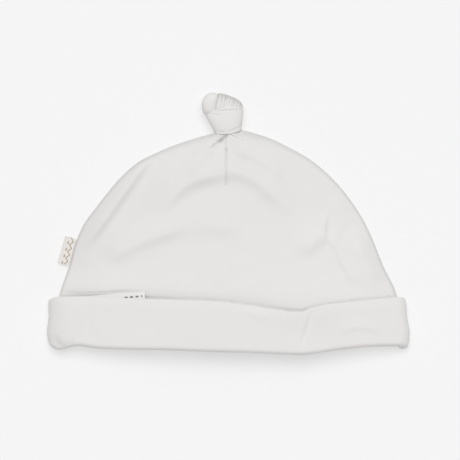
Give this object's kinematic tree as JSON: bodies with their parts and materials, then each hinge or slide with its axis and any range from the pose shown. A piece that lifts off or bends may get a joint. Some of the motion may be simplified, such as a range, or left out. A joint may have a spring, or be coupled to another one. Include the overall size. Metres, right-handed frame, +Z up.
{
  "type": "knotted baby nightcap",
  "caption": "Soft jersey baby cap with a knotted top and a turned-up cuff, lying flat on its back panel.",
  "frame": {"origin": "on the surface that the cap lies on, under the middle of its outline", "axes": "+X runs along the cuff, to the right as the front is seen; +Y runs from the cuff to the knot; +Z is up, out of the front panel"},
  "size_m": [0.1694, 0.123, 0.0173],
  "materials": {
    "jersey": "matt fine cotton jersey",
    "band_jersey": "matt doubled cotton jersey",
    "tag_ribbon": "fine woven ribbon",
    "label_satin": "smooth satin ribbon"
  },
  "bodies": {
    "root": {"crown_front": "jersey", "crown_back": "jersey", "cuff": "band_jersey", "top_knot": "jersey", "side_tag": "tag_ribbon", "care_label": "label_satin"}
  },
  "joints": []
}
